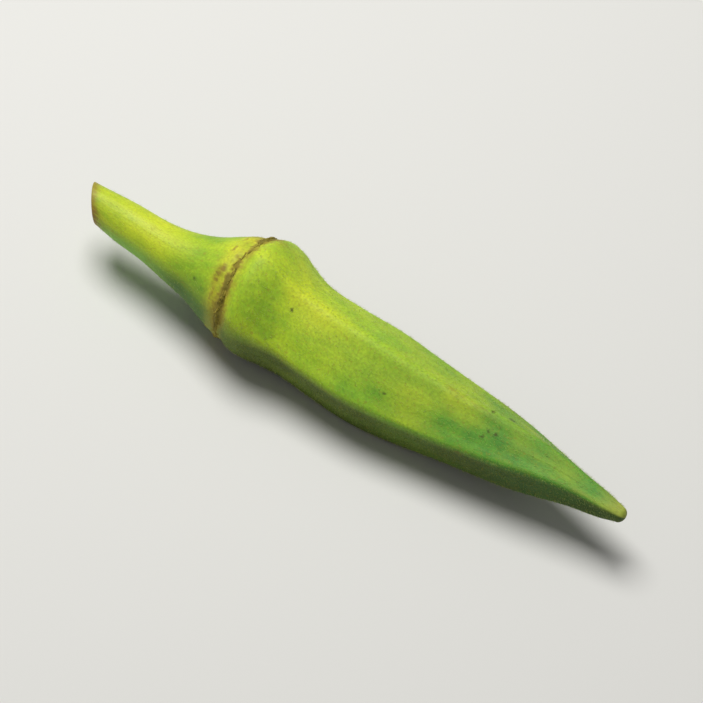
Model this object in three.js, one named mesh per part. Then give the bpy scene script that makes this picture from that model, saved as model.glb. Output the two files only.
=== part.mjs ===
// A fresh okra pod as it was cut from the plant, lying on its side.
//
// It grew as one piece: a short stalk with a slanting cut, which flares like a trumpet to the ring of scar
// where the calyx dropped off, and beyond that a five-ribbed pod that narrows to a blunt tip.
// It lies on the flat side between its two lowest ribs, dented flat by its own weight where it touches.
//
// Millimetres, +Z up. +X runs from the cut stalk to the tip, and the stalk leans a little towards -Y.
// The origin is under the middle of the pod, on the surface that it lies on.

import * as THREE from "three";
import { mergeVertices } from "three/addons/utils/BufferGeometryUtils.js";

// Driving dimensions
const STALK_LENGTH = 31; // cut end to calyx scar
const POD_LENGTH = 78.6; // calyx scar to tip
const CUT_RADIUS = 3.2; // stalk at the cut
const SCAR_RADIUS = 9.6; // flare where it meets the scar
const SHOULDER_RADIUS = 10.85; // widest point, a little past the scar
const SHOULDER_PAST = 3.4; // from the scar to the widest point
const WAIST_RADIUS = 8.65; // the slight waist behind the shoulder
const BELLY_RADIUS = 8.7; // widest point of the barrel
const TIP_RADIUS = 1.45; // blunt end
const TIP_DOME = 1.2; // how far the blunt end bulges

const CUT_SLANT = THREE.MathUtils.degToRad(34); // the knife's slant across the stalk
const CUT_SLANT_SIDE = THREE.MathUtils.degToRad(115); // the side of the stalk that the cut runs back on
const CUT_SLANT_REACH = 11; // how far up the stalk its sections still lean with the cut

const SCAR_HEIGHT = 0.38; // the torn rim left by the calyx
const SCAR_WIDTH = 0.5; // half its width
const SCAR_STRAY = 1.5; // how far the ring of scar strays towards the tip on one side
const SCAR_STRAY_SIDE = THREE.MathUtils.degToRad(85); // that side
const SCAR_STRAY_REACH = 7; // how far from the scar its neighbours still stray with it
const OUTER_SCAR_BACK = 2.3; // the fainter line left by the outer bracts, measured back from the scar
const OUTER_SCAR_HEIGHT = 0.14;
const OUTER_SCAR_WIDTH = 0.4;

const RIB_COUNT = 5;
const RIB_HEIGHTS = [0.92, 0.84, 1.06, 1.06, 0.9]; // top rib first, round by -Y: it lies on the two strongest
const RIB_TWIST = THREE.MathUtils.degToRad(-25); // how far the ribs wind round between the belly and the tip
const REST_DENT = 0.12; // how much is pressed flat where the pod touches the surface

const AROUND = 50; // sides of each section, ten to a rib
const STEP = 2.0; // spacing of the sections along the pod

const LENGTH = STALK_LENGTH + POD_LENGTH;

// [distance from the cut end, radius], cut end to tip
const RADII = [
  [0, CUT_RADIUS],
  [1.4, CUT_RADIUS + 0.1],
  [7, 3.85],
  [13.5, 4.2],
  [19, 5.15],
  [23.5, 6.45],
  [27, 8.2],
  [29.5, 9.35],
  [STALK_LENGTH, SCAR_RADIUS],
  [STALK_LENGTH + 1.5, 10.35],
  [STALK_LENGTH + SHOULDER_PAST, SHOULDER_RADIUS],
  [STALK_LENGTH + 6, 10.5],
  [STALK_LENGTH + 8.5, 9.65],
  [STALK_LENGTH + 13, WAIST_RADIUS],
  [STALK_LENGTH + 20, 8.6],
  [STALK_LENGTH + 28, BELLY_RADIUS],
  [STALK_LENGTH + 36, 7.95],
  [STALK_LENGTH + 43, 7.15],
  [STALK_LENGTH + 50, 6.35],
  [STALK_LENGTH + 57, 5.45],
  [STALK_LENGTH + 64, 4.2],
  [STALK_LENGTH + 70, 3.0],
  [STALK_LENGTH + 74, 2.35],
  [STALK_LENGTH + 77, 1.8],
  [LENGTH, TIP_RADIUS],
];

// [distance from the cut end, how five-sided the section is: 0 is round, 1 a pentagon with soft corners]
const RIB_STRENGTH = [
  [0, 0],
  [20, 0.02],
  [STALK_LENGTH - 2, 0.12],
  [STALK_LENGTH + 3, 0.3],
  [STALK_LENGTH + 12, 0.72],
  [STALK_LENGTH + 30, 0.95],
  [STALK_LENGTH + 60, 1.05],
  [STALK_LENGTH + 74, 0.8],
  [LENGTH, 0.3],
];

// [distance from the cut end, share of the ribs' twist]: they stand upright up to the belly
const RIB_WINDING = [
  [0, 0],
  [STALK_LENGTH + 42, 0],
  [STALK_LENGTH + 50, 0.1],
  [STALK_LENGTH + 57, 0.36],
  [STALK_LENGTH + 64, 0.72],
  [STALK_LENGTH + 70, 0.93],
  [LENGTH, 1],
];

// [distance from the cut end, sideways place of the centre line]: the stalk leans to -Y and the tip to +Y
const SIDEWAYS = [
  [0, -2.0],
  [STALK_LENGTH * 0.3, -2.0],
  [STALK_LENGTH * 0.6, -2.05],
  [STALK_LENGTH * 0.8, -1.2],
  [STALK_LENGTH, -0.1],
  [STALK_LENGTH + 4, 0.15],
  [STALK_LENGTH + 12, -0.2],
  [STALK_LENGTH + 22, -0.1],
  [STALK_LENGTH + 32, 0.3],
  [STALK_LENGTH + 42, 0.85],
  [STALK_LENGTH + 54, 1.35],
  [STALK_LENGTH + 68, 1.45],
  [LENGTH, 1.15],
];

// [distance from the cut end, height of the centre line above its height at the shoulder]
const RISE = [
  [0, 0.6],
  [STALK_LENGTH * 0.55, 0.35],
  [STALK_LENGTH, -0.1],
  [STALK_LENGTH + SHOULDER_PAST, 0],
  [STALK_LENGTH + 12, -1.35],
  [STALK_LENGTH + 22, -2.25],
  [STALK_LENGTH + 30, -2.6],
  [STALK_LENGTH + 38, -2.6],
  [STALK_LENGTH + 55, -1.75],
  [STALK_LENGTH + 70, -0.6],
  [LENGTH, 0],
];

// The smooth curve through a list of [place, value] pairs, read at one place.
function smoothAt(pairs, place) {
  const last = pairs.length - 1;
  let i = 0;
  while (i < last - 1 && place > pairs[i + 1][0]) i++;
  const [x0, y0] = pairs[i];
  const [x1, y1] = pairs[i + 1];
  const [xBefore, yBefore] = pairs[Math.max(i - 1, 0)];
  const [xAfter, yAfter] = pairs[Math.min(i + 2, last)];
  const span = x1 - x0;
  const slope0 = ((y1 - yBefore) / (x1 - xBefore)) * span;
  const slope1 = ((yAfter - y0) / (xAfter - x0)) * span;
  const t = (place - x0) / span;
  const a = 2 * (y0 - y1) + slope0 + slope1;
  const b = 3 * (y1 - y0) - 2 * slope0 - slope1;
  return ((a * t + b) * t + slope0) * t + y0;
}

const bump = (distance, width) => Math.exp(-((distance / width) ** 2));

// How far a soft-cornered pentagon stands out from a round section, as a share of the radius.
function pentagon(angle) {
  const corner = RIB_COUNT * angle;
  return 0.076 * Math.cos(corner) + 0.017 * Math.cos(2 * corner) + 0.004 * Math.cos(3 * corner);
}

// The height of the nearest ribs at this angle, blended smoothly from one rib to the next.
function ribHeight(angle) {
  const turn = THREE.MathUtils.euclideanModulo(angle / (2 * Math.PI), 1) * RIB_COUNT;
  const rib = Math.floor(turn);
  const share = THREE.MathUtils.smoothstep(turn - rib, 0, 1);
  return THREE.MathUtils.lerp(RIB_HEIGHTS[rib], RIB_HEIGHTS[(rib + 1) % RIB_COUNT], share);
}

// Radius at a distance from the cut end and an angle from straight up, turning towards -Y.
function radiusAt(along, angle) {
  const ribAngle = angle - RIB_TWIST * smoothAt(RIB_WINDING, along);
  const ribs = smoothAt(RIB_STRENGTH, along) * ribHeight(ribAngle) * pentagon(ribAngle);
  const scar = SCAR_HEIGHT * bump(along - STALK_LENGTH, SCAR_WIDTH);
  const outerScar = OUTER_SCAR_HEIGHT * bump(along - STALK_LENGTH + OUTER_SCAR_BACK, OUTER_SCAR_WIDTH);
  return smoothAt(RADII, along) * (1 + ribs) + scar + outerScar;
}

// The places of the sections: even steps, closer together where the outline turns quickly.
function sectionPlaces() {
  const scarSteps = [-3.2, -2.7, -2.3, -1.9, -1.3, -0.8, -0.4, 0, 0.4, 0.8, 1.5, 2.4, 3.4, 4.7];
  const places = [0, 0.6, ...scarSteps.map((step) => STALK_LENGTH + step), LENGTH - 0.7, LENGTH];
  const closeBy = (place) => places.some((other) => Math.abs(other - place) < 0.55 * STEP);
  const evenSteps = Math.round(LENGTH / STEP);
  for (let i = 1; i < evenSteps; i++) {
    const place = (i * LENGTH) / evenSteps;
    if (!closeBy(place)) places.push(place);
  }
  return places.sort((a, b) => a - b);
}

// A turned blank along Y with a flat cut end and a rounded tip, closed on its axis at both ends.
function turnedBlank() {
  const profile = sectionPlaces().map((along) => new THREE.Vector2(1, along));
  profile.unshift(new THREE.Vector2(0, 0), new THREE.Vector2(0.55, 0));
  for (const turn of [0.35, 0.7, 1]) {
    const rise = (turn * Math.PI) / 2;
    profile.push(new THREE.Vector2(Math.max(Math.cos(rise), 0), LENGTH + TIP_DOME * Math.sin(rise)));
  }
  const lathe = new THREE.LatheGeometry(profile, AROUND);
  lathe.deleteAttribute("normal");
  lathe.deleteAttribute("uv");
  return mergeVertices(lathe);
}

// Moves each point of the blank out to the pod's real outline, along its bowed centre line.
function shapePod(blank) {
  const points = blank.getAttribute("position");
  const floor = SHOULDER_RADIUS * (1 + 0.3 * pentagon(Math.PI / RIB_COUNT));
  for (let i = 0; i < points.count; i++) {
    const share = Math.hypot(points.getX(i), points.getZ(i));
    const angle = Math.atan2(points.getX(i), points.getZ(i));
    const place = Math.min(points.getY(i), LENGTH);
    const radius = share * radiusAt(place, angle);
    const lean = Math.max(0, 1 - place / CUT_SLANT_REACH) ** 2;
    const slant = lean * Math.tan(CUT_SLANT) * radius * Math.cos(angle - CUT_SLANT_SIDE);
    const stray = SCAR_STRAY * (0.5 + 0.5 * Math.cos(angle - SCAR_STRAY_SIDE)) ** 4;
    const along = points.getY(i) + slant + stray * bump(place - STALK_LENGTH, SCAR_STRAY_REACH);
    const side = -radius * Math.sin(angle) + smoothAt(SIDEWAYS, place);
    const height = radius * Math.cos(angle) + smoothAt(RISE, place) + floor - REST_DENT;
    points.setXYZ(i, along, side, Math.max(height, 0));
  }
  return blank;
}

// Moves the origin under the middle of the pod.
function centre(geometry) {
  geometry.computeBoundingBox();
  const middle = geometry.boundingBox.getCenter(new THREE.Vector3());
  return geometry.translate(-middle.x, -middle.y, -geometry.boundingBox.min.z);
}

const podGreen = new THREE.MeshStandardMaterial({ color: 0x9fc038, roughness: 0.55, metalness: 0 });
const okraPod = new THREE.Mesh(centre(shapePod(turnedBlank())), podGreen);
okraPod.name = "okra_pod";

const part = new THREE.Group();
part.add(okraPod);

export default part;
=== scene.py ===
"""A fresh okra pod: an add-on that builds the finished pod round its packed solid.

Each operator makes one piece: the skin with its cut face and scars, the torn fibres of the calyx scar,
the fine hairs, and the stage that the pod lies on. Lengths in the code are millimetres until a mesh is
placed; Blender gets metres.
"""

import random
from functools import partial
from math import atan2, cos, degrees, exp, hypot, pi, radians, remainder, sin, tan, tau
from types import SimpleNamespace

import bmesh
import bpy
from bpy.props import FloatProperty, FloatVectorProperty, IntProperty, PointerProperty
from bpy.types import Operator, Panel, PropertyGroup
from mathutils import Matrix, Vector
from mathutils.noise import noise


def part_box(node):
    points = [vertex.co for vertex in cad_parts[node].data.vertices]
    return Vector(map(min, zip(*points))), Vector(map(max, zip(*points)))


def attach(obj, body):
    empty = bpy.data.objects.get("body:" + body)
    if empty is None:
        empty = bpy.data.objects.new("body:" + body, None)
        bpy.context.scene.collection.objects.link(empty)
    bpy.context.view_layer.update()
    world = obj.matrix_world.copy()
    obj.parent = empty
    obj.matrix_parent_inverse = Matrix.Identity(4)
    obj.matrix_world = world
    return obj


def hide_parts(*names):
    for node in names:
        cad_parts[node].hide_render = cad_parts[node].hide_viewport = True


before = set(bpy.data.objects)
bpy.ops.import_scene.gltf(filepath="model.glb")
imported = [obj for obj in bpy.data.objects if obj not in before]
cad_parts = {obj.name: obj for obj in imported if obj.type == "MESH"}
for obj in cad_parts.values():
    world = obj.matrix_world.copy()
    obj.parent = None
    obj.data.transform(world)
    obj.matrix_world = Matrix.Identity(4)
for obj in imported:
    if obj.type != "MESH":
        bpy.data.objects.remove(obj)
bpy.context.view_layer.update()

bl_info = {
    "name": "Okra Pod",
    "version": (1, 0, 0),
    "blender": (4, 5, 0),
    "location": "View3D > Sidebar > Okra",
    "description": "Builds a fresh okra pod with its scars, blemishes and fine hairs",
    "category": "Add Mesh",
}

MM = 0.001
POD_LOW, POD_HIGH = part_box("okra_pod")
BODY = "root"

# Driving sizes in mm, and the knife's slant in degrees; the pod fills what the packed solid's length leaves
STALK = 31.0
CUT_RADIUS = 3.2
CUT_SLANT = 34.0
TIP_DOME = 1.2
POD = (POD_HIGH.x - POD_LOW.x) / MM - STALK - TIP_DOME - CUT_RADIUS * tan(radians(CUT_SLANT))

RIBS = 5
RIB_HEIGHTS = (0.92, 0.84, 1.06, 1.06, 0.9)  # top rib first, round by -Y
RIB_KEELS = (0.04, 0.2, 0.18, 0.2, 0.16)  # height in mm of the fine raised line along each rib
KEEL_WIDTH = 0.85
GRAIN_RADIUS = 8.5  # the fibres are spaced as on a section of this radius

# Sizes of the patterns, in mm
CLOUD = 9.0  # slow patches of greener and yellower skin
MOTTLE = 2.6  # smaller blotches in them
FIBRE = 0.8  # fibres along the pod, as colour
FINE_FIBRE = 0.45  # fibres, as relief
PIMPLE = 0.42  # sandy grain, as colour
FINE_PIMPLE = 0.3  # sandy grain, as relief
PORE = 0.8  # spacing of the pale pores
SPECK = 4.5  # spacing of the dark specks
RAGGED = 0.5  # broken edges of specks, bruises and scars
CUT_RAGGED = 0.9  # broken rings of the cut face
RUB = 0.8  # broken patches in a scuff
WIDE_RUB = 2.4  # rubbed stretches along the ribs
WAX_PATCH = 3.0  # shinier and duller patches of the wax
BRACT_SPOT = 1 / 1.8  # spots of the dried bract tissue
FIBRE_HEIGHT = 0.05  # relief of the finest fibres and pimples

# How the plant's surfaces take the light
PLANT_IOR = 1.45
SKIN_ROUGHNESS = (0.5, 0.6)  # on the stalk, and on the pod
DRY_ROUGHNESS = 0.85  # scars, cut face and dead tissue

# How densely hairs grow on the stalk, and how much more on the pod and along its ribs
STALK_HAIRS, POD_HAIRS, RIB_HAIRS = 0.14, 0.3, 0.55
HAIR_CLEARANCE, HAIR_FADE = 0.25, 0.4  # mm above the floor where hairs begin, and mm until all are there

# Where the lights stand, from the pod
KEY_FROM = (-0.35, 0.15, 0.92)
FILL_FROM = (0.3, -0.9, 0.5)

# In these tables angles are in degrees, from straight up round by -Y.
# (angle, height in mm, half width in degrees) of the lumps on the scar
SCAR_LUMPS = (
    (-46, 0.26, 5), (-33, 0.3, 6), (-60, 0.2, 6), (18, 0.1, 5), (58, 0.16, 5), (70, 0.24, 4), (84, 0.2, 6),
    (128, 0.2, 7), (168, 0.18, 9), (205, 0.22, 6), (236, 0.2, 7),
)

# (angle, half width in degrees, half width along the pod in mm, strength) of the torn patches beside it
SCAR_PATCHES = (
    (-46, 9, 1.8, 1.25), (-31, 8, 1.3, 1.05), (4, 14, 0.6, 0.25), (34, 9, 0.7, 0.4), (48, 8, 0.8, 0.5),
    (66, 10, 1.3, 0.75), (82, 9, 1.3, 0.7), (150, 14, 0.8, 0.6), (226, 12, 0.9, 0.6),
)

# (angle, mm towards the tip, half width in degrees) of the bends in the ring of scar
SCAR_BENDS = (
    (-38, 0.75, 16), (-9, 0.75, 14), (30, -0.2, 8), (64, -0.12, 16), (94, -0.22, 10), (124, -0.3, 18),
    (190, 0.3, 26), (245, -0.25, 22),
)

# (angle, half width in degrees, share missing) of the places where the scar is thin
SCAR_GAPS = (
    (-15, 10, 0.4), (6, 10, 0.6), (24, 8, 0.3), (106, 9, 0.4), (172, 12, 0.5), (218, 9, 0.45),
    (258, 10, 0.5),
)

# (mm past the scar, angle, radius in mm, strength) of yellower patches: mostly skin that the sun turned
# yellower, but the two on the stalk are a painted highlight; below 0, greener and darker, towards the shaded
# colours
SUNNED_AND_HIGHLIGHT_PATCHES = (
    (11.5, 4, 2.8, 0.4), (16.5, 4, 3.6, 0.4), (7, -35, 3, 0.1), (22, 0, 4, 0.25), (13, 52, 3, 0.08),
    (24, 60, 5, 0.04), (37, 60, 4, 0.2), (11, -30, 4, 0.25), (36, -20, 6, 0.25), (46, -14, 6, 0.3),
    (57, -24, 4, 0.2), (-17.5, 14, 4.5, 0.45), (-25, 14, 4, 0.25), (49, 48, 5, -0.1), (3, -8, 3, 0.25),
    (-3.5, -10, 2.2, 0.35), (-2, 18, 1.6, 0.35), (20, 200, 6, 0.2), (40, 250, 6, 0.2),
)

# (mm past the scar, angle, radius in mm, strength) of the darker blemishes
BLEMISHES = (
    (12.3, 21, 0.36, 0.95), (33.8, 46, 0.3, 1), (51.2, -8, 0.45, 0.85), (54.5, -21, 0.6, 1),
    (52.5, 23, 0.42, 0.75), (52, 36, 0.42, 0.8), (53.9, 22, 0.42, 0.95), (49.5, 74, 0.5, 0.7),
    (50.6, 75, 0.4, 0.6), (-2.5, 33, 0.5, 0.85), (-2.3, 41, 0.35, 0.7), (-6.2, 53, 0.4, 0.8),
    (-25.7, 10, 0.2, 0.8), (-21, 38, 0.16, 0.6), (22, 150, 0.4, 0.8), (41, 200, 0.5, 0.7),
    (9, 230, 0.45, 0.8), (60, 285, 0.35, 0.7), (30, 262, 0.4, 0.75),
)

# (mm past the scar, angle, half length and half width in mm, strength) of the brown scuffs and flecks; the
# last two are the brown at the cut's lower end, partly its dried rim and partly painted shadow
SCUFFS_AND_CUT_SHADOW = (
    (43.3, -3, 1, 0.5, 0.75), (45.6, -1, 1, 0.4, 0.5), (44.6, 4, 0.8, 0.3, 0.45), (24, 78, 2, 0.3, 0.4),
    (49.5, 76, 1.2, 0.35, 0.5), (36, 144, 4, 0.4, 0.7), (18, 216, 3, 0.4, 0.6), (52, 288, 3.5, 0.35, 0.7),
    (-1, 10, 0.4, 1.2, 0.75), (-2, 27, 0.55, 1.2, 1.2), (-2.4, 42, 0.5, 1.1, 1.1),
    (-2.9, 34, 0.35, 1.6, 0.8), (-1.4, -12, 0.3, 1, 0.5), (2.2, -40, 0.9, 0.35, 0.7), (3.2, -34, 2, 2, 0.6),
    (1.2, -25, 0.4, 1.2, 0.6), (-1.3, 68, 0.8, 2.2, 0.8), (1.2, 74, 0.8, 2, 0.6),
    (-1.5, -42, 0.9, 1.6, 0.8), (1.8, -46, 0.9, 1.5, 0.7), (1.2, 6, 0.5, 3.5, 0.35),
    (1.3, 40, 0.5, 2.5, 0.35), (-1.4, 150, 0.8, 2, 0.6), (1.5, 196, 0.7, 2.4, 0.5),
    # The last two: the cut's dried lower edge, with painted shadow at the lower end of the cut
    (-1.6, 236, 0.8, 2, 0.6), (-30.4, 96, 2.8, 2.6, 1.2), (-30.6, 60, 1.3, 1.2, 1),
)

# The values at each point of the skin that its material reads
MARKS = ("along", "cut", "shade", "crest", "scar", "outer_scar", "blemish", "scuff")


def linear(hex_colour):
    """An sRGB hex colour as the linear values that shaders work in."""
    parts = (int(hex_colour[i : i + 2], 16) / 255 for i in (0, 2, 4))
    return tuple(c / 12.92 if c <= 0.04045 else ((c + 0.055) / 1.055) ** 2.4 for c in parts)


def length_of(name, description, mm):
    """A length that the user sets in Blender's units, given here in millimetres."""
    return FloatProperty(
        name=name, description=description, default=mm * MM, unit="LENGTH", subtype="DISTANCE", precision=5
    )


def angle_of(name, description, angle):
    """An angle that the user sets, given here in degrees."""
    return FloatProperty(name=name, description=description, default=radians(angle), subtype="ANGLE")


def colour_of(name, description, hex_colour):
    """A colour that the user picks, from an sRGB hex value."""
    return FloatVectorProperty(
        name=name, description=description, subtype="COLOR", size=3, min=0, max=1, default=linear(hex_colour)
    )


class OkraForm(PropertyGroup):
    """Sizes of the pod."""

    stalk_length: length_of("Stalk length", "Cut end to calyx scar", STALK)
    pod_length: length_of("Pod length", "Calyx scar to tip", POD)
    cut_radius: length_of("Cut radius", "Stalk at the cut", CUT_RADIUS)
    scar_radius: length_of("Scar radius", "Flare where it meets the scar", 9.6)
    shoulder_radius: length_of("Shoulder radius", "Widest point, just past the scar", 10.85)
    shoulder_past: length_of("Shoulder place", "From the scar to the widest point", 3.4)
    waist_radius: length_of("Waist radius", "Slight waist behind the shoulder", 8.65)
    belly_radius: length_of("Belly radius", "Widest point of the barrel", 8.7)
    tip_radius: length_of("Tip radius", "Blunt end", 1.45)
    tip_dome: length_of("Tip dome", "How far the blunt end bulges", TIP_DOME)
    cut_slant: angle_of("Cut slant", "Slant of the knife across the stalk", CUT_SLANT)
    cut_side: angle_of("Cut side", "Side that the cut runs back on, from straight up round by -Y", 115)
    cut_reach: length_of("Cut reach", "How far up the stalk its sections lean with the cut", 11.0)
    rib_twist: angle_of("Rib twist", "How far the ribs wind round from belly to tip", -25)
    scar_height: length_of("Scar height", "Torn rim left by the calyx", 0.38)
    scar_width: length_of("Scar width", "Half the width of the torn rim", 0.5)
    scar_stray: length_of("Scar stray", "How far the ring strays towards the tip on one side", 1.5)
    scar_stray_side: angle_of("Scar stray side", "That side, from straight up round by -Y", 85)
    scar_stray_reach: length_of("Scar stray reach", "How far from the ring the skin strays too", 7.0)
    outer_scar_back: length_of("Outer scar", "From the calyx scar back to the scar of the bracts", 2.3)
    outer_scar_height: length_of("Outer scar height", "Height of the scar of the bracts", 0.14)
    outer_scar_width: length_of("Outer scar width", "Half the width of the scar of the bracts", 0.4)
    streak_height: length_of("Streak height", "Fine lengthwise ridges of the skin", 0.024)
    ripple_height: length_of("Ripple height", "Slow unevenness of the faces", 0.12)
    rest_dent: length_of("Rest dent", "Pressed flat where the pod lies", 0.12)
    step: length_of("Step", "Spacing of the sections", 0.46)
    around: IntProperty(name="Around", description="Sides of each section", default=288, min=50, max=400)


class OkraColours(PropertyGroup):
    """Colours of the skin, the scars and the cut."""

    # Each part has a sunny colour and a shaded one. The sunny ones are partly painted light on the top, and
    # the shaded ones are partly painted shade round the lower side. The rest is skin that is yellower where
    # the sun reached it and greener where it did not.
    stalk_sunny: colour_of("Stalk, sunny side", "Stalk near the cut", "B9CD2C")
    stalk_shaded: colour_of("Stalk, shaded side", "Underside of the stalk", "8AC648")
    flare_sunny: colour_of("Flare, sunny side", "Trumpet before the scar", "A0C22A")
    flare_shaded: colour_of("Flare, shaded side", "Shaded side of the trumpet", "4A762C")
    band: colour_of("Band, sunny side", "Pale band before the scar", "CACB30")
    band_shaded: colour_of("Band, shaded side", "Shaded side of the band", "8C9636")
    pod_sunny: colour_of("Pod, sunny side", "Top of the pod", "B4D22C")
    pod_middle: colour_of("Pod, middle", "Sunny side of the barrel", "95C430")
    pod_shaded: colour_of("Pod, shaded side", "Greener faces of the pod", "50641F")
    # The sunned yellow also paints the highlight on the stalk
    sunned_and_highlight: colour_of("Sunned", "Patches that the sun turned yellow", "D2DC30")
    mottle: colour_of("Mottle", "Tint of the greener mottles", "C8E0F8")
    tip_sunny: colour_of("Tip, sunny side", "Top of the tip", "60A036")
    tip_shaded: colour_of("Tip, shaded side", "Underside of the tip", "3C5A1E")
    tip_end: colour_of("Tip end", "Blunt end of the tip", "A8B64C")
    scar: colour_of("Scar", "Torn calyx scar", "7A7028")
    scar_edge: colour_of("Scar edge", "Corky edges of the scar", "9C8C30")
    blemish: colour_of("Blemish", "Dark specks and bruises", "2F3D12")
    scuff: colour_of("Scuff", "Brown scuffs on the ribs", "8A7428")
    cut_rim: colour_of("Cut rim", "Dried edge of the cut", "967634")
    cut_flesh: colour_of("Cut flesh", "Flesh on the cut face", "C0C06C")
    cut_pith: colour_of("Cut pith", "Pith in the middle of the cut", "DAD6A2")
    hair: colour_of("Hairs", "Fine hairs of the skin", "D0D88C")


class OkraFibres(PropertyGroup):
    """Slivers of dead tissue on the calyx scar."""

    count: IntProperty(name="Count", description="Slivers on the whole scar", default=120, min=1)
    length: length_of("Length", "Longest sliver", 1.9)
    width: length_of("Width", "Widest sliver", 0.42)
    thickness: length_of("Thickness", "Thickness of a sliver", 0.08)
    seed: IntProperty(name="Seed", description="Random draw of the slivers", default=11)


class OkraHairs(PropertyGroup):
    """The fine hairs of the skin."""

    count: IntProperty(name="Count", description="Hairs on the whole pod", default=20000, min=1)
    length: length_of("Length", "Longest hair", 0.68)
    radius: length_of("Radius", "Root of a hair", 0.023)
    lean: angle_of("Lean", "How far the hairs lean towards the tip", 50)
    seed: IntProperty(name="Seed", description="Random draw of the hairs", default=7)


class OkraStage(PropertyGroup):
    """Floor, lights and camera."""

    floor: colour_of("Floor", "Plain pale floor", "DEDDD8")
    view_lean: angle_of("View lean", "Camera's lean from straight above towards -Y", 34)
    view_turn: angle_of("View turn", "How far the tip points towards the camera", 16.6)
    view_slope: angle_of("View slope", "Slope of the pod across the picture", 31.9)
    frame_width: length_of("Frame width", "Width of the picture at the pod", 122.0)
    lens: FloatProperty(name="Lens", description="Focal length in mm", default=200.0, unit="CAMERA")
    key: FloatProperty(name="Key light", description="Power of the key light", default=5.25, unit="POWER")
    fill: FloatProperty(name="Fill light", description="Power of the fill light", default=0.1, unit="POWER")
    sky: FloatProperty(name="Sky", description="Strength of the even light all round", default=0.16)


def in_mm(group):
    """A property group's values by name, with its lengths in millimetres."""
    settings = SimpleNamespace()
    for key, prop in group.bl_rna.properties.items():
        if key not in {"rna_type", "name"}:
            value = getattr(group, key)
            setattr(settings, key, value / MM if getattr(prop, "unit", "NONE") == "LENGTH" else value)
    return settings


def smooth_at(pairs, place):
    """The smooth curve through (place, value) pairs, read at one place."""
    last = len(pairs) - 1
    i = 0
    while i < last - 1 and place > pairs[i + 1][0]:
        i += 1
    (x0, y0), (x1, y1) = pairs[i], pairs[i + 1]
    before, after = pairs[max(i - 1, 0)], pairs[min(i + 2, last)]
    span = x1 - x0
    slope0 = (y1 - before[1]) / (x1 - before[0]) * span
    slope1 = (after[1] - y0) / (after[0] - x0) * span
    t = (place - x0) / span
    a = 2 * (y0 - y1) + slope0 + slope1
    b = 3 * (y1 - y0) - 2 * slope0 - slope1
    return ((a * t + b) * t + slope0) * t + y0


def ease(value):
    """0 below 0, 1 above 1, and a smooth step between."""
    t = min(max(value, 0.0), 1.0)
    return t * t * (3 - 2 * t)


def bump(distance, width):
    """A smooth bump: 1 at distance 0 and 0.37 at the half width."""
    return exp(-((distance / width) ** 2))


def angle_bump(angle, at, width):
    """A bump round the pod, with its middle and half width in degrees."""
    return bump(degrees(remainder(angle - radians(at), tau)), width)


def on_circle(angle):
    """A point on the unit circle, where noise is read so that it closes round the pod."""
    return Vector((cos(angle), sin(angle), 0))


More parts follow.
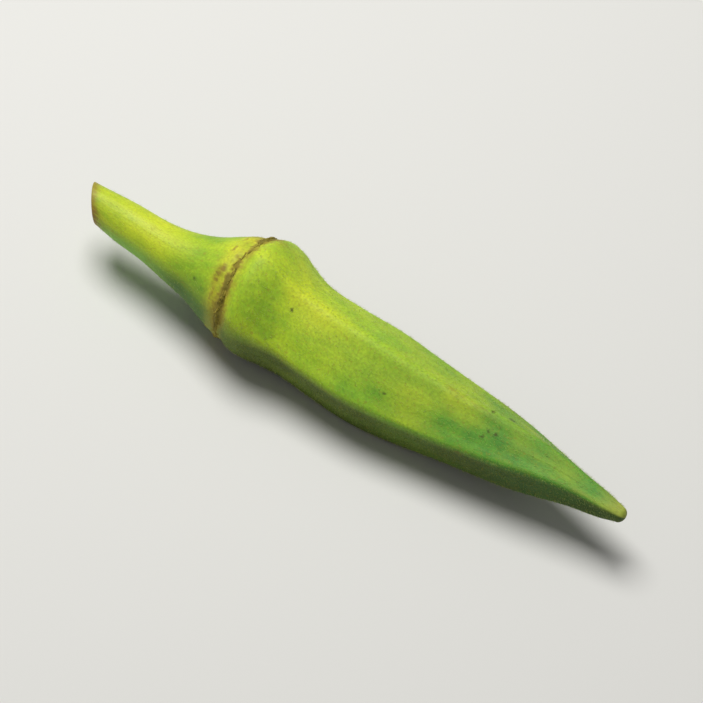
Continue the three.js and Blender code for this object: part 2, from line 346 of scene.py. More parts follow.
class PodShape:
    """Where the surface of the pod is, at any distance from the cut end and any angle."""

    def __init__(self, form):
        self.form = form
        self.scar = form.stalk_length
        self.length = form.stalk_length + form.pod_length
        shoulder_ribs = 0.3

        def table(on_stalk, past_scar, at_tip):
            """(mm from the cut, value) pairs: rows on the stalk, rows past the scar and the tip's value."""
            on_pod = ((self.scar + past, value) for past, value in past_scar)
            return (*on_stalk, *on_pod, (self.length, at_tip))

        self.radii = table(
            (
                (0, form.cut_radius), (1.4, form.cut_radius + 0.1), (7, 3.85), (13.5, 4.2), (19, 5.15),
                (23.5, 6.45), (27, 8.2), (29.5, 9.35),
            ),
            (
                (0, form.scar_radius), (1.5, 10.35), (form.shoulder_past, form.shoulder_radius), (6, 10.5),
                (8.5, 9.65), (13, form.waist_radius), (20, 8.6), (28, form.belly_radius), (36, 7.95),
                (43, 7.15), (50, 6.35), (57, 5.45), (64, 4.2), (70, 3), (74, 2.35), (77, 1.8),
            ),
            form.tip_radius,
        )
        self.rib_strength = table(
            ((0, 0), (20, 0.02)),
            ((-2, 0.12), (3, shoulder_ribs), (12, 0.72), (30, 0.95), (60, 1.05), (74, 0.8)),
            0.3,
        )
        self.sideways = table(
            ((0, -2), (self.scar * 0.3, -2), (self.scar * 0.6, -2.05), (self.scar * 0.8, -1.2)),
            ((0, -0.1), (4, 0.15), (12, -0.2), (22, -0.1), (32, 0.3), (42, 0.85), (54, 1.35), (68, 1.45)),
            1.15,
        )
        self.rise = table(
            ((0, 0.6), (self.scar * 0.55, 0.35)),
            (
                (0, -0.1), (form.shoulder_past, 0), (12, -1.35), (22, -2.25), (30, -2.6), (38, -2.6),
                (55, -1.75), (70, -0.6),
            ),
            0,
        )
        self.winding = table(((0, 0),), ((42, 0), (50, 0.1), (57, 0.36), (64, 0.72), (70, 0.93)), 1)
        # Along the pod: where the painted shade begins, in degrees from the top rib, and over how many
        # degrees it deepens
        self.shade_edge = table(((0, 60), (13, 34), (23, 46)), ((0, 55), (5, 67), (12, 66)), 66)
        self.shade_spread = table(((0, 62), (13, 54), (23, 50)), ((0, 44), (5, 30), (12, 22)), 22)
        low_face = 1 + shoulder_ribs * self.pentagon(pi / RIBS)
        self.floor = form.shoulder_radius * low_face - form.rest_dent
        self.sections = {}
        self.offset = Vector()

    def pentagon(self, angle):
        """How far a soft-cornered pentagon stands out from a round section, as a share of the radius."""
        corner = RIBS * angle
        return 0.076 * cos(corner) + 0.017 * cos(2 * corner) + 0.004 * cos(3 * corner)

    def rib_height(self, angle):
        """The height of the nearest ribs at this angle, blended from one rib to the next."""
        turn = (angle / tau) % 1 * RIBS
        rib = int(turn)
        share = ease(turn - rib)
        return RIB_HEIGHTS[rib % RIBS] * (1 - share) + RIB_HEIGHTS[(rib + 1) % RIBS] * share

    def section(self, place):
        """(radius, rib strength, sideways, rise, winding of the ribs) of the section at this place."""
        if place not in self.sections:
            tables = (self.radii, self.rib_strength, self.sideways, self.rise, self.winding)
            self.sections[place] = tuple(smooth_at(table, place) for table in tables)
        return self.sections[place]

    def rib_angle(self, place, angle):
        """The angle measured from the top rib, which winds round near the tip and wavers a little."""
        waver = radians(1.2) * noise((place / 22, 0.3, 0.7)) * ease((place - self.scar - 6) / 10)
        return angle - self.form.rib_twist * self.section(place)[4] + waver

    def nearest_rib(self, place, angle):
        """The nearest rib, and the distance from its crest round the skin in mm."""
        turn = self.rib_angle(place, angle) / tau * RIBS
        rib = round(turn)
        return rib % RIBS, (turn - rib) * tau / RIBS * self.section(place)[0]

    def crest(self, place, angle):
        """1 along the crest of a rib, falling to 0 on the faces between."""
        return bump(self.nearest_rib(place, angle)[1], KEEL_WIDTH)

    def keel(self, place, angle):
        """The fine raised line along each rib, in mm, with the slight hollows beside it."""
        rib, off = self.nearest_rib(place, angle)
        narrow = bump(off, KEEL_WIDTH) - 0.3 * bump(abs(off) - 2.5 * KEEL_WIDTH, KEEL_WIDTH)
        return RIB_KEELS[rib] * narrow * ease((place - self.scar - 3) / 9)

    def grain(self, place, angle):
        """Pattern coordinates in mm that follow the fibres: along the pod, and round it at a fixed radius."""
        return Vector((place, GRAIN_RADIUS * cos(angle), GRAIN_RADIUS * sin(angle)))

    def scar_shift(self, angle):
        """How far the ragged scar strays along the pod at this angle."""
        ring = on_circle(angle)
        bends = sum(past * angle_bump(angle, at, width) for at, past, width in SCAR_BENDS)
        return bends + 0.1 * noise(ring * 3.1) + 0.16 * noise(ring * 7.3)

    def scar_share(self, place, angle):
        """How much of the calyx scar's height there is here, and of the outer scar's."""
        form = self.form
        ring = on_circle(angle)
        from_scar = place - self.scar - self.scar_shift(angle)
        thin = sum(missing * angle_bump(angle, at, width) for at, width, missing in SCAR_GAPS)
        coarse = 0.7 * noise(ring * 4.1)
        fine = 0.7 * noise(ring * 12.7 + Vector((0, 0, place * 1.4)))
        ragged = (1 - thin) * 0.9 + coarse + fine
        width = form.scar_width * (1.0 if from_scar > 0 else 1.5)
        inner = max(ragged, 0.12) * bump(from_scar, width)
        waver = 0.35 * noise(ring * 3.3 + Vector((2, 0, 0)))
        from_outer = place - self.scar + form.outer_scar_back + waver
        broken = ease(0.55 + 1.3 * noise(ring * 4.7 + Vector((0, 5, 0))))
        outer = broken * bump(from_outer, form.outer_scar_width)
        return inner, outer

    def scar_patch(self, place, angle):
        """How much torn brown skin there is beside the scar."""
        from_scar = place - self.scar - self.scar_shift(angle)
        torn = sum(
            strength * angle_bump(angle, at, width) * bump(from_scar, breadth)
            for at, width, breadth, strength in SCAR_PATCHES
        )
        return torn + 0.22 * bump(from_scar - 0.4, 1.0)

    def lumps(self, place, angle):
        """The height in mm of the knobs on the scar."""
        knobs = sum(height * angle_bump(angle, at, width) for at, height, width in SCAR_LUMPS)
        return knobs * bump(place - self.scar - self.scar_shift(angle), 0.55)

    def relief(self, place, angle):
        """The small forms of the skin: ripples, streaks, crests and scars, in mm above the smooth shape."""
        form = self.form
        along, across, up = self.grain(place, angle)
        on_pod = ease((place - self.scar) / 4)
        end_fade = ease((self.length - place) / 3) * ease(place / 1.5)
        ripple = form.ripple_height * noise((along / 14, across / 6, up / 6)) * (0.3 + 0.7 * on_pod)
        fine = noise((along / 22, across / 1.05, up / 1.05))
        finer = noise((along / 16, across / 0.55, up / 0.55))
        flare = bump(place - self.scar + 3.5, 4.5)
        streaks = form.streak_height * (1 + 1.6 * flare) * (fine + 0.5 * finer)
        inner, outer = self.scar_share(place, angle)
        groove = 0.1 * bump(place - self.scar - 1.25, 0.45)
        scars = form.scar_height * inner + form.outer_scar_height * outer + self.lumps(place, angle) - groove
        return (ripple + streaks + self.keel(place, angle)) * end_fade + scars

    def radius(self, place, angle):
        """Radius of the smooth shape, before its relief."""
        radius, strength = self.section(place)[:2]
        ribs_from = self.rib_angle(place, angle)
        return radius * (1 + strength * self.rib_height(ribs_from) * self.pentagon(ribs_from))

    def point(self, along, angle, share=1.0, lift=0.0):
        """A point in mm at a distance along the pod, a share of the radius out, and lifted off the skin."""
        form = self.form
        place = min(along, self.length)
        radius = share * (self.radius(place, angle) + self.relief(place, angle)) + lift
        lean = max(0.0, 1 - place / form.cut_reach) ** 2
        slant = lean * tan(form.cut_slant) * radius * cos(angle - form.cut_side)
        sideways, rise = self.section(place)[2:4]
        stray = form.scar_stray * (0.5 + 0.5 * cos(angle - form.scar_stray_side)) ** 4
        slant += stray * bump(place - self.scar, form.scar_stray_reach)
        height = radius * cos(angle) + rise + self.floor
        return Vector((along + slant, -radius * sin(angle) + sideways, max(height, 0.0)))

    def shade(self, place, angle):
        """0 on the sunny side, 1 on the shaded side: partly the skin that the sun turned yellower and the
        side that stayed green, partly painted light on top and painted shade round the lower side.
        """
        from_top_rib = degrees(abs(remainder(self.rib_angle(place, angle), tau)))
        patches = sum(
            strength * bump(hypot(*self.from_mark(place, angle, past, at)), radius)
            for past, at, radius, strength in SUNNED_AND_HIGHLIGHT_PATCHES
        )
        edge, spread = smooth_at(self.shade_edge, place), smooth_at(self.shade_spread, place)
        return ease((from_top_rib - edge) / spread) - patches

    def from_mark(self, place, angle, past, at):
        """Distances along and round the skin, in mm, from a mark past the scar at an angle in degrees."""
        return place - self.scar - past, self.section(place)[0] * remainder(angle - radians(at), tau)

    def blemish(self, place, angle):
        """The strength of a blemish at its middle, falling evenly to 0 at twice its radius."""
        return max(
            strength * (1 - 0.5 * hypot(*self.from_mark(place, angle, past, at)) / radius)
            for past, at, radius, strength in BLEMISHES
        )

    def scuff(self, place, angle):
        """The strength of a brown scuff: long and thin, along the skin; at the cut's lower end it is partly
        painted shadow.
        """
        total = 0
        for past, at, length, width, strength in SCUFFS_AND_CUT_SHADOW:
            along, beside = self.from_mark(place, angle, past, at)
            total += strength * bump(along, length) * bump(beside, width)
        return total


def add_node(tree, kind, inputs=(), stops=(), **settings):
    """Adds a shader node with its settings and links. Each input is a value, a node or an output.

    Inputs go by name or in Blender's order: a noise takes (vector, scale, detail, roughness), a mix
    (factor, A, B) and a map range (value, from min, from max, to min, to max).
    """
    node = tree.nodes.new("ShaderNode" + kind)
    for name, value in settings.items():
        setattr(node, name, value)
    for _ in stops[2:]:
        node.color_ramp.elements.new(0.5)
    for i, (place, colour) in enumerate(stops):
        node.color_ramp.elements[i].position = place
        node.color_ramp.elements[i].color = (*colour, 1.0)
    sockets = [socket for socket in node.inputs if socket.enabled]
    for key, value in inputs.items() if isinstance(inputs, dict) else enumerate(inputs):
        socket = sockets[key] if isinstance(key, int) else next(s for s in sockets if s.name == key)
        if isinstance(value, bpy.types.Node):
            value = next(output for output in value.outputs if output.enabled)
        if isinstance(value, bpy.types.NodeSocket):
            tree.links.new(value, socket)
        elif socket.type == "RGBA":
            socket.default_value = (*value, 1.0)
        else:
            socket.default_value = value
    return node


def new_material(name):
    """An empty material, and add_node for its tree."""
    material = bpy.data.materials.new(name)
    material.use_nodes = True
    material.node_tree.nodes.clear()
    return material, partial(add_node, material.node_tree)


def section_places(shape):
    """Places of the skin's sections, closer together at the cut, the scar and the tip."""
    places = [0.0]
    while places[-1] < shape.length:
        here = places[-1]
        close = max(bump(here, 0.8), bump(here - shape.scar + 0.6, 2.4), bump(here - shape.length, 1.5))
        places.append(here + shape.form.step * (1 - 0.6 * close))
    places[-1] = shape.length
    return places


def skin_profile(shape):
    """(place, share of the radius) pairs of half a section through the pod: cut face, skin and tip."""
    face_rings, dome_rings = 22, 7
    cut_face = [(0.0, 0.97 * i / face_rings) for i in range(face_rings + 1)]
    edge = [(0.02, 0.985), (0.07, 0.995)]
    skin = [(place, 1.0) for place in section_places(shape)[1:]]
    turns = [pi / 2 * i / dome_rings for i in range(1, dome_rings + 1)]
    dome = [(shape.length + shape.form.tip_dome * sin(turn), cos(turn)) for turn in turns]
    return cut_face + edge + skin + dome


def cut_sink(angle, share):
    """How far the cut face sinks in, in mm: a dished pith, a raised woody ring and a dry rough rim."""
    ring = on_circle(angle) * share
    pith = 0.32 * ease((0.6 - share) / 0.35)
    cortex = 0.16 * bump(share - 0.84, 0.07)
    bundles = -0.05 * bump(share - 0.68, 0.05) * (0.5 + 0.5 * cos(18 * angle))
    rough = 0.05 * noise(ring * 5) + 0.03 * noise(ring * 14)
    return pith + cortex + bundles + rough * ease((1 - share) / 0.1)


def settle_order(bm):
    """Sorts the faces by their corners, because a spin makes them in an order that varies from run to run."""
    bm.verts.index_update()
    count = len(bm.verts)

    def corners(face):
        lowest, second, third, *_ = sorted(vert.index for vert in face.verts)
        return (lowest * count + second) * count + third

    bm.faces.sort(key=corners)


def pod_skin_mesh(shape):
    """The skin, spun from its profile and shaped point by point, with the marks that its material reads."""
    bm = bmesh.new()
    verts = [bm.verts.new((along, 0, share)) for along, share in skin_profile(shape)]
    edges = [bm.edges.new(pair) for pair in zip(verts, verts[1:])]
    sides = shape.form.around
    bmesh.ops.spin(bm, geom=verts + edges, axis=(1, 0, 0), angle=tau, steps=sides, use_merge=True)
    bmesh.ops.remove_doubles(bm, verts=bm.verts, dist=1e-4)
    settle_order(bm)
    marks = {name: bm.verts.layers.float.new(name) for name in MARKS}
    grain = bm.verts.layers.float_vector.new("grain")
    for vert in bm.verts:
        along, across, up = vert.co
        angle = atan2(-across, up)
        share = hypot(across, up)
        place = min(along, shape.length)
        scar, outer_scar = shape.scar_share(place, angle)
        on_face = along < 0.01
        in_cut = min(share, 1.0) if on_face else 1.0
        values = (along, in_cut, shape.shade(place, angle), shape.crest(place, angle))
        values += (scar + shape.lumps(place, angle) + shape.scar_patch(place, angle), outer_scar)
        values += (shape.blemish(place, angle), shape.scuff(place, angle))
        for name, value in zip(MARKS, values):
            vert[marks[name]] = value
        vert[grain] = shape.grain(along, angle)
        vert.co = shape.point(along, angle, share)
        if on_face:
            vert.co.x += cut_sink(angle, share)
    return bm


def place_in_frame(shape, bm):
    """Turns millimetres into metres in the packed solid's place, and the faces outwards."""
    bmesh.ops.scale(bm, vec=(MM, MM, MM), verts=bm.verts)
    bmesh.ops.translate(bm, vec=shape.offset, verts=bm.verts)
    bmesh.ops.recalc_face_normals(bm, faces=bm.faces)


def add_object(context, name, data):
    """A new object in the scene, which shows this data."""
    made = bpy.data.objects.new(name, data)
    context.scene.collection.objects.link(made)
    return made


def add_piece(context, name, bm, material):
    """A smooth-shaded piece from a bmesh, with its one material."""
    mesh = bpy.data.meshes.new(name)
    bm.to_mesh(mesh)
    bm.free()
    mesh.shade_smooth()
    mesh.materials.append(material)
    return add_object(context, name, mesh)


def copies(bm, count):
    """Doubles the mesh until it holds this many copies of itself, and returns the vertices of each."""
    corners = len(bm.verts)
    while len(bm.verts) < corners * count:
        missing = min(len(bm.verts), corners * count - len(bm.verts))
        bm.verts.ensure_lookup_table()
        verts = bm.verts[:missing]
        edges = dict.fromkeys(edge for vert in verts for edge in vert.link_edges)
        faces = dict.fromkeys(face for vert in verts for face in vert.link_faces)
        bmesh.ops.duplicate(bm, geom=[*verts, *edges, *faces])
    bm.verts.ensure_lookup_table()
    return [bm.verts[corners * i : corners * (i + 1)] for i in range(count)]


def fibre_mesh(shape, fibres):
    """Tapered slivers that lie along the scar, follow the skin and lift at their loose ends."""
    draw = random.Random(fibres.seed)
    bm = bmesh.new()
    bmesh.ops.create_cone(bm, cap_ends=True, segments=5, radius1=0.8, radius2=0.12, depth=1)
    for height in (-0.3, -0.1, 0.1, 0.3):
        bmesh.ops.bisect_plane(
            bm, geom=[*bm.verts, *bm.edges, *bm.faces], plane_co=(0, 0, height), plane_no=(0, 0, 1)
        )
    for sliver in copies(bm, fibres.count):
        length = draw.uniform(0.3, 1.0) * fibres.length
        half_width = draw.uniform(0.35, 1.0) * fibres.width / 2
        clump, _, spread = draw.choice(SCAR_LUMPS)
        loose = draw.uniform(-180, 180)
        start = radians(draw.choice((loose, loose, clump + draw.gauss(0, 1) * spread)))
        place = shape.scar + shape.scar_shift(start) + draw.gauss(0, 0.2)
        heading = radians(draw.choice((90, -90)) + draw.gauss(0, 14))
        curl = 0.22 * draw.random() ** 2
        bend = draw.uniform(-0.4, 0.4)
        radius = shape.section(place)[0]
        for vert in sliver:
            share = vert.co.z + 0.5
            turned = heading + bend * share
            across = vert.co.x * half_width * (1 + 1.2 * share)
            along = share * length * cos(turned) - across * sin(turned)
            around = share * length * sin(turned) + across * cos(turned)
            lift = fibres.thickness * (vert.co.y * 0.6 + 0.25) + curl * share**3
            vert.co = shape.point(place + along, start + around / radius, 1.0, lift)
    return bm


def hair_mesh(shape, hairs):
    """Thousands of three-sided bristles, copied from one and stood on the skin one by one."""
    draw = random.Random(hairs.seed)
    bm = bmesh.new()
    bmesh.ops.create_circle(bm, segments=3, radius=1)
    bm.verts.new((0, 0, 1))
    bmesh.ops.convex_hull(bm, input=bm.verts)
    share_layer = bm.verts.layers.float.new("hair_share")
    roots = hair_roots(shape, hairs, draw)
    for bristle, (place, angle) in zip(copies(bm, len(roots)), roots):
        stand = hair_stance(shape, hairs, place, angle, draw)
        for vert in bristle:
            vert[share_layer] = vert.co.z
            vert.co = stand @ vert.co
            vert.co.z = max(vert.co.z, 0.0)
    return bm


def hair_roots(shape, hairs, draw):
    """(distance, angle) of each hair: dense on the ribs, sparse on the stalk, none on the scars."""
    widest = shape.form.shoulder_radius
    roots = []
    while len(roots) < hairs.count:
        place = draw.uniform(1.5, shape.length - 0.2)
        angle = draw.uniform(-pi, pi)
        radius = shape.section(place)[0]
        inner, outer = shape.scar_share(place, angle)
        on_pod = ease((place - shape.scar - 0.5) / 2)
        living = 1 - min(inner + outer, 1.0)
        growth = STALK_HAIRS + POD_HAIRS * on_pod + RIB_HAIRS * on_pod * shape.crest(place, angle)
        clear_of_floor = ease((shape.point(place, angle).z - HAIR_CLEARANCE) / HAIR_FADE)
        if draw.random() < growth * living * clear_of_floor * radius / widest:
            roots.append((place, angle))
    return roots


def hair_stance(shape, hairs, place, angle, draw):
    """The matrix, in mm, that stands the unit bristle on the skin, leaning towards the tip."""
    step = 0.05
    root = shape.point(place, angle)
    ahead = (shape.point(place + step, angle) - root).normalized()
    beside = (shape.point(place, angle + step / 5) - root).normalized()
    out = beside.cross(ahead).normalized()
    if out.dot(root - shape.point(place, angle, 0.5)) < 0:
        out.negate()
    lean = hairs.lean * draw.uniform(0.5, 1.25)
    veer = draw.gauss(0, 0.5)
    heading = (ahead * cos(veer) + out.cross(ahead) * sin(veer)).normalized()
    axis = (out * cos(lean) + heading * sin(lean)).normalized()
    side = axis.orthogonal().normalized()
    third = axis.cross(side)
    length = hairs.length * draw.uniform(0.4, 1.0) * (1 - 0.35 * bump(place - shape.scar, 6))
    thick = hairs.radius * draw.uniform(0.7, 1.1)
    columns = Matrix((side * thick, third * thick, axis * length)).transposed().to_4x4()
    return Matrix.Translation(root - axis * length * 0.06) @ columns


def add_floor(context, stage):
    """A wide round floor."""
    bm = bmesh.new()
    bmesh.ops.create_circle(bm, cap_ends=True, segments=64, radius=4)
    floor = add_piece(context, "floor", bm, floor_material(stage))


def aim(position, target):
    """The world matrix of a light at a position, pointing at a target."""
    return Matrix.Translation(position) @ (target - position).to_track_quat("-Z", "Y").to_matrix().to_4x4()


def add_lights(context, stage):
    """A large soft key overhead, a broad fill from the front and even light from all round."""
    middle = (POD_LOW + POD_HIGH) / 2
    for name, heading, distance, size, power in (
        ("key_light", KEY_FROM, 0.7, 0.45, stage.key),
        ("fill_light", FILL_FROM, 0.9, 0.8, stage.fill),
    ):
        light = bpy.data.lights.new(name, "AREA")
        light.shape = "DISK"
        light.size = size
        light.energy = power
        lamp = add_object(context, name, light)
        lamp.matrix_world = aim(middle + Vector(heading).normalized() * distance, middle)
    world = bpy.data.worlds.new("studio")
    world.use_nodes = True
    context.scene.world = world
    background = world.node_tree.nodes["Background"]
    background.inputs["Color"].default_value = (1, 1, 1, 1)
    background.inputs["Strength"].default_value = stage.sky


def add_camera(context, stage):
    """A long lens that looks down on the pod, with the tip a little nearer and the pod sloping down to it."""
    turn, lean, slope = stage.view_turn, stage.view_lean, stage.view_slope
    back = Vector((sin(turn), -cos(turn) * sin(lean), cos(turn) * cos(lean)))
    along = (Vector((1, 0, 0)) - back * back.x).normalized()
    across = back.cross(along)
    right = along * cos(slope) + across * sin(slope)
    up = across * cos(slope) - along * sin(slope)
    lens = bpy.data.cameras.new("camera")
    lens.lens = stage.lens
    lens.clip_start = 0.01
    lens.clip_end = 20
    camera = add_object(context, "camera", lens)
    distance = stage.frame_width * stage.lens / lens.sensor_width
    target = (POD_LOW + POD_HIGH) / 2
    turned = Matrix((right, up, back)).transposed().to_4x4()
    camera.matrix_world = Matrix.Translation(target + back * distance) @ turned
    context.scene.camera = camera


def skin_colour(node, shape, colours, marks, grain):
    """The living skin: yellower where the sun reached it, with painted light on top and painted shade below,
    clouded, streaked along its fibres and speckled.
    """

    def along_stops(*stops):
        return [(place / shape.length, getattr(colours, name)) for place, name in stops]

    scar = shape.scar
    # Sunny colours along the pod, partly painted light; the stalk's holds to 15 mm under its painted
    # highlight
    sunny_stops = along_stops(
        (0, "stalk_sunny"), (15, "stalk_sunny"), (23, "flare_sunny"), (scar - 4.2, "flare_sunny"),
        (scar - 2.2, "band"), (scar + 0.4, "band"), (scar + 2.2, "pod_sunny"), (scar + 15, "pod_sunny"),
        (scar + 28, "pod_middle"), (scar + 57, "tip_sunny"), (scar + 73, "tip_sunny"),
        (scar + 78, "tip_end"),
    )
    # Shaded colours along the pod: greener skin, darkened as painted shade
    shaded_stops = along_stops(
        (0, "stalk_shaded"), (13, "stalk_shaded"), (22, "flare_shaded"), (scar - 3.4, "flare_shaded"),
        (scar - 1.8, "band_shaded"), (scar + 0.2, "band_shaded"), (scar + 1.6, "pod_shaded"),
        (scar + 40, "pod_shaded"), (scar + 62, "tip_shaded"),
    )
    place = node("Math", (marks["along"], shape.length), operation="DIVIDE")
    sunny = node("ValToRGB", (place,), sunny_stops)
    shaded = node("ValToRGB", (place,), shaded_stops)

    stretched = node("Mapping", {"Vector": grain, "Scale": (0.7, 1, 1)})
    cloud = node("TexNoise", (stretched, 1 / CLOUD, 2))
    cloudy = node("MapRange", (cloud, 0.32, 0.68, -0.2, 0.08))
    mottle = node("TexNoise", (stretched, 1 / MOTTLE, 3, 0.6))
    mottled = node("MapRange", (mottle, 0.36, 0.64, 0, 0.8))
    greener = node("Math", (marks["crest"], -0.6, mottled), operation="MULTIPLY_ADD")
    lit = node("Mix", (greener, sunny, colours.mottle), data_type="RGBA", blend_type="MULTIPLY")
    # Shade: 0 keeps the sunny colours, 1 gives the shaded ones, painting shade round the lower side
    shade = node("Math", (marks["shade"], cloudy), operation="ADD")
    # Below 0, shade turns the skin to the sunned yellow: on the sunned patches, and as a painted highlight on
    # the stalk
    yellow = node("MapRange", (shade, -0.04, -0.5, 0, 0.8))
    sunned_and_highlit = node("Mix", (yellow, lit, colours.sunned_and_highlight), data_type="RGBA")
    skin = node("Mix", (shade, sunned_and_highlit, shaded), data_type="RGBA")

    drawn_out = node("Mapping", {"Vector": grain, "Scale": (0.05, 1, 1)})
    fibres = node("TexNoise", (drawn_out, 1 / FIBRE, 3))
    streak = node("MapRange", (fibres, 0.4, 0.8, 0, 0.07))
    streaked = node("Mix", (streak, skin, shaded), data_type="RGBA")

    pimples = node("TexNoise", (grain, 1 / PIMPLE, 2))
    sandy = node("MapRange", (pimples, 0.3, 0.7, 0.86, 1.1))
    sanded = node("Mix", (1.0, streaked, sandy), data_type="RGBA", blend_type="MULTIPLY")

    pores = node("TexVoronoi", (grain, 1 / PORE))
    pore = node("MapRange", (pores, 0.26, 0.08, 0, 0.3))
    chance = node("SeparateColor", (pores.outputs["Color"],))
    open_pore = node("Math", (pore, chance), operation="MULTIPLY")
    pored = node("Mix", (open_pore, sanded, colours.stalk_sunny), data_type="RGBA")

    ruffled = node("TexNoise", (grain, 1 / RAGGED, 2))
    wander = node("Mix", (0.25, grain, ruffled.outputs["Color"]), data_type="VECTOR")
    specks = node("TexVoronoi", (wander, 1 / SPECK))
    speck = node("MapRange", (specks, 0.07, 0.035))
    chosen = node("SeparateColor", (specks.outputs["Color"],))
    few = node("MapRange", (chosen, 0.5, 0.9, 0, 0.75))
    dark = node("Math", (speck, few), operation="MULTIPLY")
    return node("Mix", (dark, pored, colours.blemish), data_type="RGBA")


def marked_colour(node, colours, marks, grain, skin):
    """The skin with its blemishes, the scuffs along its ribs, the painted shadow at the cut's lower end and
    the two scar rings.
    """
    ragged = node("TexNoise", (grain, 1 / RAGGED, 3))
    uneven = node("MapRange", (ragged, 0, 1, -0.5, 0.5))

    spot = node("Math", (uneven, 1.1, marks["blemish"]), operation="MULTIPLY_ADD")
    spotted = node("MapRange", (spot, 0.3, 0.75, 0, 0.85))
    blemished = node("Mix", (spotted, skin, colours.blemish), data_type="RGBA")

    rubbed = node("Mapping", {"Vector": grain, "Scale": (0.25, 1, 1)})
    rubs = node("TexNoise", (rubbed, 1 / RUB, 4, 0.65))
    rub = node("MapRange", (rubs, 0.32, 0.6))
    # The scuff mark also paints shadow at the lower end of the cut
    on_scuff_and_shadow = node("Math", (rub, marks["scuff"]), operation="MULTIPLY")
    wide_rubs = node("TexNoise", (rubbed, 1 / WIDE_RUB, 4))
    wide_rub = node("MapRange", (wide_rubs, 0.58, 0.74, 0, 0.5))
    on_crest = node("Math", (wide_rub, marks["crest"], on_scuff_and_shadow), operation="MULTIPLY_ADD")
    scuffed_and_shadowed = node("Mix", (on_crest, blemished, colours.scuff), data_type="RGBA")

    outer = node("Math", (uneven, 1.5, marks["outer_scar"]), operation="MULTIPLY_ADD")
    outer_line = node("MapRange", (outer, 0.4, 1.0, 0, 0.85))
    lined = node("Mix", (outer_line, scuffed_and_shadowed, colours.scar_edge), data_type="RGBA")
    torn = node("Math", (uneven, 1.7, marks["scar"]), operation="MULTIPLY_ADD")
    edge = node("MapRange", (torn, 0.08, 0.75))
    core = node("MapRange", (torn, 0.55, 1.35, 0, 0.9))
    edged = node("Mix", (edge, lined, colours.scar_edge), data_type="RGBA")
    return node("Mix", (core, edged, colours.scar), data_type="RGBA"), edge


def cut_colour(node, colours, marks, grain, skin):
    """The cut end: a dried rim that runs on over the wall, green flesh, a woody ring and pale pith."""
    ragged = node("TexNoise", (grain, 1 / CUT_RAGGED, 3))
    uneven = node("MapRange", (ragged, 0, 1, -0.5, 0.5))
    depth = node("Math", (uneven, 0.18, marks["cut"]), operation="MULTIPLY_ADD")
    stops = (
        (0, colours.cut_pith), (0.5, colours.cut_pith), (0.6, colours.cut_flesh), (0.68, colours.scuff),
        (0.78, colours.cut_flesh), (0.88, colours.cut_flesh), (0.94, colours.cut_rim), (1, colours.scar),
    )
    rings = node("ValToRGB", (depth,), stops)
    on_face = node("MapRange", (marks["cut"], 0.998, 0.985))
    drying = node("Math", (uneven, 1.6, marks["along"]), operation="MULTIPLY_ADD")
    dried = node("MapRange", (drying, 1.7, 0.4, 0, 0.75))
    rim = node("Mix", (dried, skin, colours.cut_rim), data_type="RGBA")
    return node("Mix", (on_face, rim, rings), data_type="RGBA"), on_face


def okra_skin_material(shape, colours):
    """Okra skin, as grown: a thin waxy cuticle over wet green flesh.

    It shows a soft broad sheen, a little light in the flesh under it, fibres along the pod and dull scars.
    """
    material, node = new_material("Okra skin, grown, waxy")
    marks = {name: node("Attribute", attribute_name=name).outputs["Fac"] for name in MARKS}
    grain = node("Attribute", attribute_name="grain").outputs["Vector"]
    skin = skin_colour(node, shape, colours, marks, grain)
    marked, scarred = marked_colour(node, colours, marks, grain, skin)
    colour, on_face = cut_colour(node, colours, marks, grain, marked)

    dry = node("Math", (scarred, on_face), operation="MAXIMUM")
    patchy = node("TexNoise", (grain, 1 / WAX_PATCH, 3))
    waxy = node("MapRange", (patchy, 0, 1, -0.1, 0.1))
    duller = node("MapRange", (marks["along"], 14, 33, *SKIN_ROUGHNESS))
    skin_gloss = node("Math", (waxy, duller), operation="ADD")
    roughness = node("Mix", (dry, skin_gloss, DRY_ROUGHNESS), data_type="FLOAT")

    drawn_out = node("Mapping", {"Vector": grain, "Scale": (0.06, 1, 1)})
    fibres = node("TexNoise", (drawn_out, 1 / FINE_FIBRE, 3))
    fibre_bump = node("Bump", {"Height": fibres, "Strength": 0.5, "Distance": FIBRE_HEIGHT * MM})
    pimples = node("TexNoise", (grain, 1 / FINE_PIMPLE, 3))
    relief = {"Height": pimples, "Normal": fibre_bump, "Strength": 0.4, "Distance": FIBRE_HEIGHT * MM}
    skin_look = {
        "Base Color": colour,
        "Roughness": roughness,
        "Normal": node("Bump", relief),
        "IOR": PLANT_IOR,
        "Specular IOR Level": 0.35,
        "Subsurface Weight": 0.1,
        "Subsurface Radius": (0.6, 1.0, 0.25),
        "Subsurface Scale": MM,
        "Sheen Weight": 0.04,
        "Sheen Tint": colours.hair,
    }
    node("OutputMaterial", {"Surface": node("BsdfPrincipled", skin_look)})
    return material


def bract_tissue_material(colours):
    """Dead bract tissue, torn and dried: matt brown fibres, paler where they are thin."""
    material, node = new_material("Dried bract tissue, torn")
    coordinates = node("TexCoord")
    in_place = node("Mapping", {"Vector": coordinates.outputs["Object"], "Scale": (1 / MM,) * 3})
    spots = node("TexNoise", (in_place, 1 / BRACT_SPOT, 3))
    stops = ((0.35, colours.scar), (0.62, colours.scar_edge), (0.85, colours.cut_flesh))
    colour = node("ValToRGB", (spots,), stops)
    tissue_look = {
        "Base Color": colour,
        "Roughness": DRY_ROUGHNESS,
        "Normal": node("Bump", {"Height": spots, "Strength": 0.6, "Distance": FIBRE_HEIGHT * MM}),
        "IOR": PLANT_IOR,
        "Specular IOR Level": 0.3,
    }
    node("OutputMaterial", {"Surface": node("BsdfPrincipled", tissue_look)})
    return material


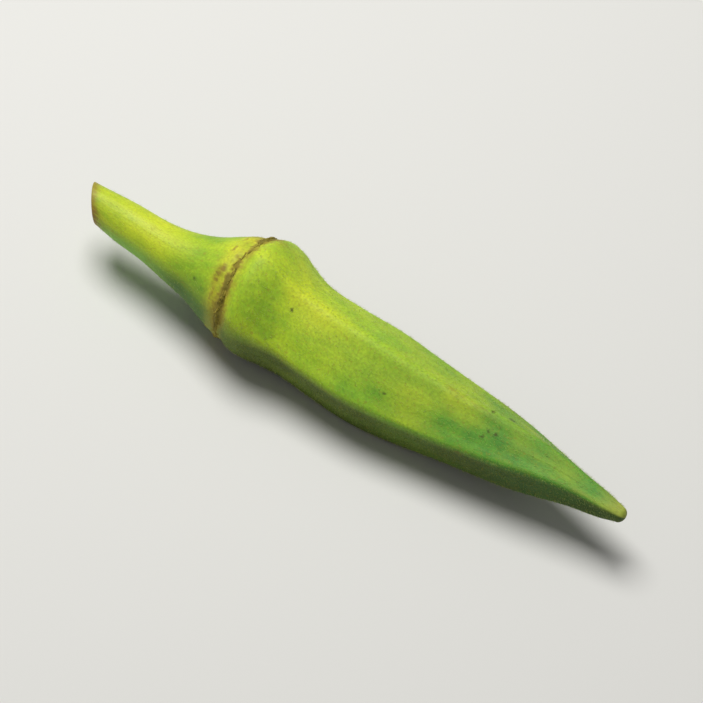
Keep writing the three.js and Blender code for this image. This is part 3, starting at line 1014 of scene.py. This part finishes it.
def plant_hair_material(colours):
    """Plant hair, grown: a clear, stiff, single-celled bristle, greener at its root and pale at its point."""
    material, node = new_material("Plant hair, grown, clear")
    height = node("Attribute", attribute_name="hair_share").outputs["Fac"]
    colour = node("ValToRGB", (height,), ((0, colours.pod_sunny), (0.5, colours.hair)))
    bristle = node("BsdfPrincipled", {"Base Color": colour, "Roughness": 0.45, "IOR": PLANT_IOR})
    node("OutputMaterial", {"Surface": bristle})
    return material


def floor_material(stage):
    """Paper board, matt coated: an even pale ground with no shine."""
    material, node = new_material("Paper board, matt coated")
    board = node("BsdfPrincipled", {"Base Color": stage.floor, "Roughness": 0.9, "Specular IOR Level": 0.15})
    node("OutputMaterial", {"Surface": board})
    return material


def pod_shape(context):
    """The pod's shape from the sizes in the panel, placed in the middle of the packed solid."""
    shape = PodShape(in_mm(context.scene.okra_form))
    sections, sides = 60, 40
    places = [shape.length * i / sections for i in range(sections + 1)]
    angles = [tau * i / sides for i in range(sides)]
    points = [shape.point(place, angle) for place in places for angle in angles]
    points.append(shape.point(shape.length + shape.form.tip_dome, 0, 0))
    low, high = (Vector(pick(p[i] for p in points) for i in range(3)) * MM for pick in (min, max))
    shape.offset = (POD_LOW + POD_HIGH - low - high) / 2
    shape.offset.z = POD_LOW.z - low.z
    return shape


class OKRA_OT_pod_skin(Operator):
    """Build the pod's skin, with its ribs, scars and cut end"""

    bl_idname = "okra.pod_skin"
    bl_label = "Pod Skin"
    bl_options = {"REGISTER", "UNDO"}

    def execute(self, context):
        shape = pod_shape(context)
        colours = in_mm(context.scene.okra_colours)
        bm = pod_skin_mesh(shape)
        place_in_frame(shape, bm)
        piece = add_piece(context, "pod_skin", bm, okra_skin_material(shape, colours))
        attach(piece, BODY)
        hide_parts("okra_pod")
        return {"FINISHED"}


class OKRA_OT_scar_fibres(Operator):
    """Build the slivers of dead tissue that the calyx left on its scar"""

    bl_idname = "okra.scar_fibres"
    bl_label = "Scar Fibres"
    bl_options = {"REGISTER", "UNDO"}

    def execute(self, context):
        shape = pod_shape(context)
        colours = in_mm(context.scene.okra_colours)
        bm = fibre_mesh(shape, in_mm(context.scene.okra_fibres))
        place_in_frame(shape, bm)
        piece = add_piece(context, "scar_fibres", bm, bract_tissue_material(colours))
        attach(piece, BODY)
        return {"FINISHED"}


class OKRA_OT_hairs(Operator):
    """Build the fine hairs of the skin as a mesh"""

    bl_idname = "okra.hairs"
    bl_label = "Hairs"
    bl_options = {"REGISTER", "UNDO"}

    def execute(self, context):
        shape = pod_shape(context)
        bm = hair_mesh(shape, in_mm(context.scene.okra_hairs))
        place_in_frame(shape, bm)
        piece = add_piece(context, "hairs", bm, plant_hair_material(in_mm(context.scene.okra_colours)))
        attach(piece, BODY)
        return {"FINISHED"}


class OKRA_OT_stage(Operator):
    """Build the floor, the lights and the camera"""

    bl_idname = "okra.stage"
    bl_label = "Stage"
    bl_options = {"REGISTER", "UNDO"}

    def execute(self, context):
        stage = context.scene.okra_stage
        add_floor(context, stage)
        add_lights(context, stage)
        add_camera(context, stage)
        context.scene.view_settings.view_transform = "Standard"
        return {"FINISHED"}


class OKRA_PT_panel(Panel):
    """Sizes, colours and pieces of the pod"""

    bl_idname = "OKRA_PT_panel"
    bl_label = "Okra Pod"
    bl_space_type = "VIEW_3D"
    bl_region_type = "UI"
    bl_category = "Okra"

    def draw(self, context):
        for operator in PIECES:
            self.layout.operator(operator.bl_idname)
        for name, group in GROUPS.items():
            box = self.layout.box()
            box.label(text=group.__doc__)
            for key in group.__annotations__:
                box.prop(getattr(context.scene, name), key)


GROUPS = {
    "okra_form": OkraForm,
    "okra_colours": OkraColours,
    "okra_fibres": OkraFibres,
    "okra_hairs": OkraHairs,
    "okra_stage": OkraStage,
}
PIECES = (OKRA_OT_pod_skin, OKRA_OT_scar_fibres, OKRA_OT_hairs, OKRA_OT_stage)
CLASSES = (*GROUPS.values(), *PIECES, OKRA_PT_panel)


def register():
    for cls in CLASSES:
        bpy.utils.register_class(cls)
    for name, group in GROUPS.items():
        setattr(bpy.types.Scene, name, PointerProperty(type=group))


def unregister():
    for name in GROUPS:
        delattr(bpy.types.Scene, name)
    for cls in reversed(CLASSES):
        bpy.utils.unregister_class(cls)


def main():
    register()
    bpy.ops.okra.pod_skin()
    bpy.ops.okra.scar_fibres()
    bpy.ops.okra.hairs()
    bpy.ops.okra.stage()


if __name__ == "__main__":
    main()
